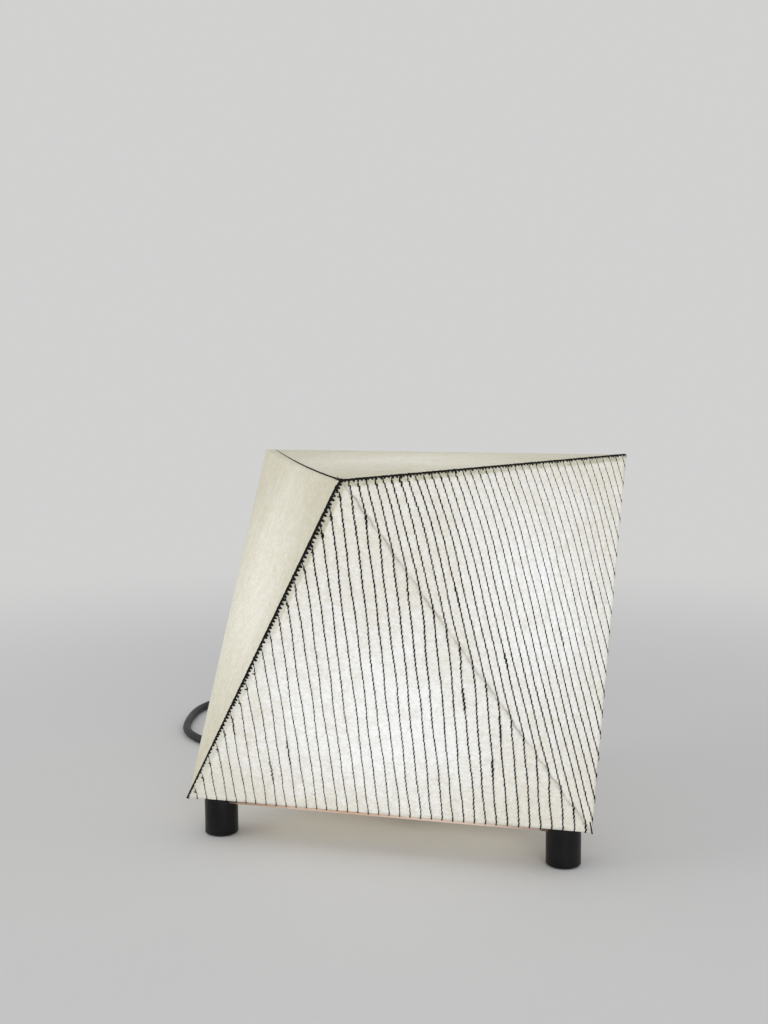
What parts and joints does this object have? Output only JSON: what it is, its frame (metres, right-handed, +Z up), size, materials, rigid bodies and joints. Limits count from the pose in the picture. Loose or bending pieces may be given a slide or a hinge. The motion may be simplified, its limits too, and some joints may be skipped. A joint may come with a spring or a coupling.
{
  "type": "paper table lamp",
  "caption": "Table lamp with a sewn paper shade of triangular faces on a thin plywood base with round feet, a screw-in bulb inside, and a cord with an inline switch and a plug.",
  "frame": {"origin": "on the table, under the middle of the shade", "axes": "+Z up, -Y towards the stitched front face, +X to the right seen from the front"},
  "size_m": [0.3674, 0.4518, 0.2309],
  "materials": {
    "plain_paper": "matte fibrous paper that lets light through",
    "stitched_paper": "matte fibrous paper that lets light through",
    "black_thread": "matte sewing thread",
    "plywood": "thin birch plywood, sealed",
    "black_foot": "black, half gloss",
    "black_felt": "felt",
    "zinc_steel": "zinc plated",
    "holder_plastic": "moulded, half gloss",
    "holder_ceramic": "unglazed steatite",
    "plated_brass": "nickel plated",
    "wire_insulation": "smooth insulation",
    "bulb_insulator": "black insulator with a metal tip",
    "bulb_metal": "rolled thread",
    "bulb_plastic": "white, half gloss",
    "opal_glass": "opal white",
    "cord_rubber": "smooth cable sheath",
    "switch_plastic": "moulded, half gloss",
    "rocker_plastic": "moulded, gloss",
    "tie_plastic": "soft strap",
    "plug_plastic": "moulded, half matte"
  },
  "bodies": {
    "lamp": {"plain_shade": "plain_paper", "stitched_shade": "stitched_paper", "stitch_rows": "black_thread", "front_left_seam": "black_thread", "top_front_seam": "black_thread", "rear_right_seam": "black_thread", "closing_seam": "black_thread", "base_plate": "plywood", "front_left_foot": "black_foot", "front_right_foot": "black_foot", "rear_foot": "black_foot", "foot_pads": "black_felt", "foot_screws": "zinc_steel", "threaded_nipple": "zinc_steel", "nipple_nut": "zinc_steel", "nipple_washer": "zinc_steel", "holder_cap": "holder_plastic", "holder_insert": "holder_ceramic", "holder_sleeve": "holder_plastic", "screw_shell": "plated_brass", "centre_contact": "plated_brass", "holder_wires": "wire_insulation", "cord_sleeve": "cord_rubber", "lead_cord": "cord_rubber", "switch_base": "switch_plastic", "switch_cover": "switch_plastic", "rocker_pin": "zinc_steel", "switch_terminals": "plated_brass", "switch_screws": "zinc_steel", "switch_tail": "cord_rubber", "cord_coil": "cord_rubber", "cord_tie": "tie_plastic", "plug_lead": "cord_rubber", "plug_boot": "plug_plastic", "plug_body": "plug_plastic", "plug_pins": "plated_brass"},
    "rocker": {"switch_rocker": "rocker_plastic"},
    "bulb_foot": {"bulb_contact": "bulb_insulator"},
    "bulb": {"bulb_cap": "bulb_metal", "bulb_collar": "bulb_plastic", "led_board": "bulb_plastic", "bulb_globe": "opal_glass"}
  },
  "joints": [
    {"name": "rocker_tip", "type": "hinge", "parent": "lamp", "child": "rocker", "pos_m": [-0.12, 0.294, 0.014], "axis": [0, 1, 0], "range_deg": [0, 18]},
    {"name": "bulb_rise", "type": "slide", "parent": "lamp", "child": "bulb_foot", "axis": [0, 0, 1], "range_m": [0, 0.0146]},
    {"name": "bulb_turn", "type": "hinge", "parent": "bulb_foot", "child": "bulb", "pos_m": [0, 0, 0.08], "axis": [0, 0, 1], "range_deg": [0, 1440]}
  ],
  "couplings": [
    {"joint": "bulb_rise", "follows": "bulb_turn", "m_per_rad": 0.00057757}
  ]
}
